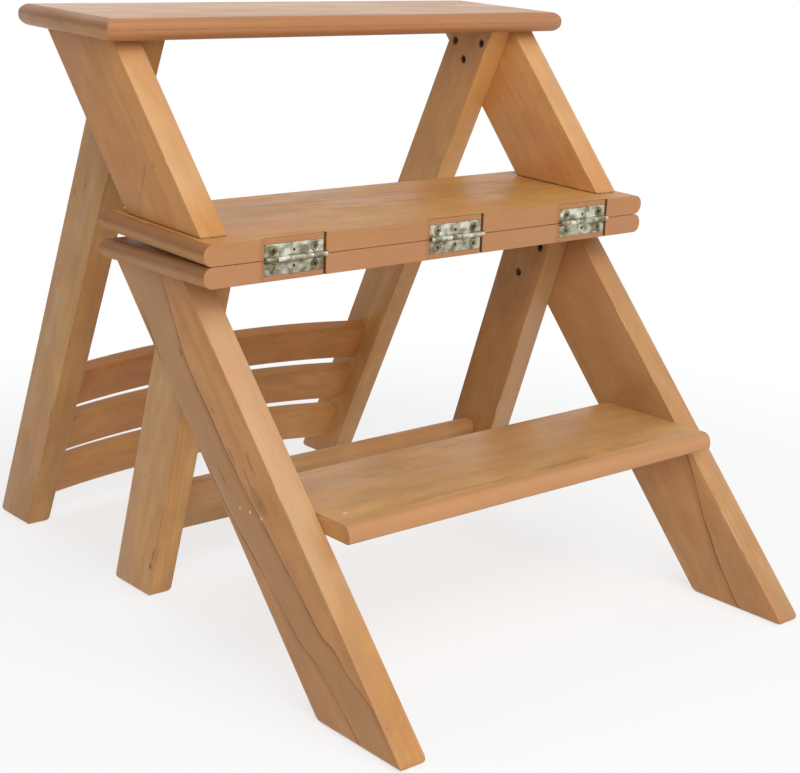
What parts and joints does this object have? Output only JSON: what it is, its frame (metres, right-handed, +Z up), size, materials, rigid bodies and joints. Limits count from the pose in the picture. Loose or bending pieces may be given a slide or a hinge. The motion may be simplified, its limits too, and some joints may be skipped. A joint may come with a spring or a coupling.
{
  "type": "folding step stool chair",
  "caption": "Wooden library steps that turn into a chair: two leaning frames joined by butt hinges along the front edges of two stacked seat boards, with treads, back slats and a stretcher.",
  "frame": {"origin": "on the floor, under the middle of the stool's whole width and depth, standing open as three steps", "axes": "+Z up; +Y from the low step at the front towards the rear feet, the longest direction; +X to the right when climbing"},
  "size_m": [0.591, 0.8072, 0.6108],
  "materials": {
    "board_wood": "satin varnish, warm honey brown",
    "tread_wood": "satin varnish, warm honey brown, worn lighter on top",
    "leg_wood": "satin varnish, olive tan to honey brown with dark grain streaks",
    "inner_leg_wood": "satin varnish, warm brown",
    "rail_wood": "satin varnish, deeper orange brown",
    "dowel_wood": "bare pale wood, hidden",
    "hinge_steel": "worn plated steel with a dull yellow green tint",
    "hinge_screw_steel": "tarnished countersunk cross-head screws",
    "dark_screw_steel": "blackened steel, deep in its hole"
  },
  "bodies": {
    "front_frame": {"front_leg_left": "leg_wood", "front_leg_right": "leg_wood", "hinge_left_lower_leaf": "hinge_steel", "hinge_left_lower_screw_1": "hinge_screw_steel", "hinge_left_lower_screw_2": "hinge_screw_steel", "hinge_left_pin": "hinge_steel", "hinge_middle_lower_leaf": "hinge_steel", "hinge_middle_lower_screw_1": "hinge_screw_steel", "hinge_middle_lower_screw_2": "hinge_screw_steel", "hinge_middle_pin": "hinge_steel", "hinge_right_lower_leaf": "hinge_steel", "hinge_right_lower_screw_1": "hinge_screw_steel", "hinge_right_lower_screw_2": "hinge_screw_steel", "hinge_right_pin": "hinge_steel", "lower_seat_board": "board_wood", "lower_tread": "tread_wood", "seat_dowel_left": "dowel_wood", "seat_dowel_right": "dowel_wood", "short_leg_left": "inner_leg_wood", "short_leg_right": "inner_leg_wood", "short_leg_screw_left_1": "dark_screw_steel", "short_leg_screw_left_2": "dark_screw_steel", "short_leg_screw_left_3": "dark_screw_steel", "short_leg_screw_right_1": "dark_screw_steel", "short_leg_screw_right_2": "dark_screw_steel", "short_leg_screw_right_3": "dark_screw_steel", "stretcher_rail": "rail_wood", "tread_dowel_left_1": "dowel_wood", "tread_dowel_left_2": "dowel_wood", "tread_dowel_right_1": "dowel_wood", "tread_dowel_right_2": "dowel_wood"},
    "rear_frame": {"back_slat_bottom": "rail_wood", "back_slat_middle": "rail_wood", "back_slat_top": "rail_wood", "hinge_left_upper_leaf": "hinge_steel", "hinge_left_upper_screw_1": "hinge_screw_steel", "hinge_left_upper_screw_2": "hinge_screw_steel", "hinge_middle_upper_leaf": "hinge_steel", "hinge_middle_upper_screw_1": "hinge_screw_steel", "hinge_middle_upper_screw_2": "hinge_screw_steel", "hinge_right_upper_leaf": "hinge_steel", "hinge_right_upper_screw_1": "hinge_screw_steel", "hinge_right_upper_screw_2": "hinge_screw_steel", "rear_leg_left": "inner_leg_wood", "rear_leg_right": "inner_leg_wood", "rear_leg_screw_left_1": "dark_screw_steel", "rear_leg_screw_left_2": "dark_screw_steel", "rear_leg_screw_left_3": "dark_screw_steel", "rear_leg_screw_right_1": "dark_screw_steel", "rear_leg_screw_right_2": "dark_screw_steel", "rear_leg_screw_right_3": "dark_screw_steel", "side_dowel_left": "dowel_wood", "side_dowel_right": "dowel_wood", "top_dowel_left": "dowel_wood", "top_dowel_right": "dowel_wood", "top_tread": "tread_wood", "upper_seat_board": "board_wood", "upper_side_left": "leg_wood", "upper_side_right": "leg_wood"}
  },
  "joints": [
    {"name": "seat_hinge", "type": "hinge", "parent": "front_frame", "child": "rear_frame", "pos_m": [0, -0.13163, 0.395], "axis": [1, 0, 0], "range_deg": [0, 177.7]}
  ]
}
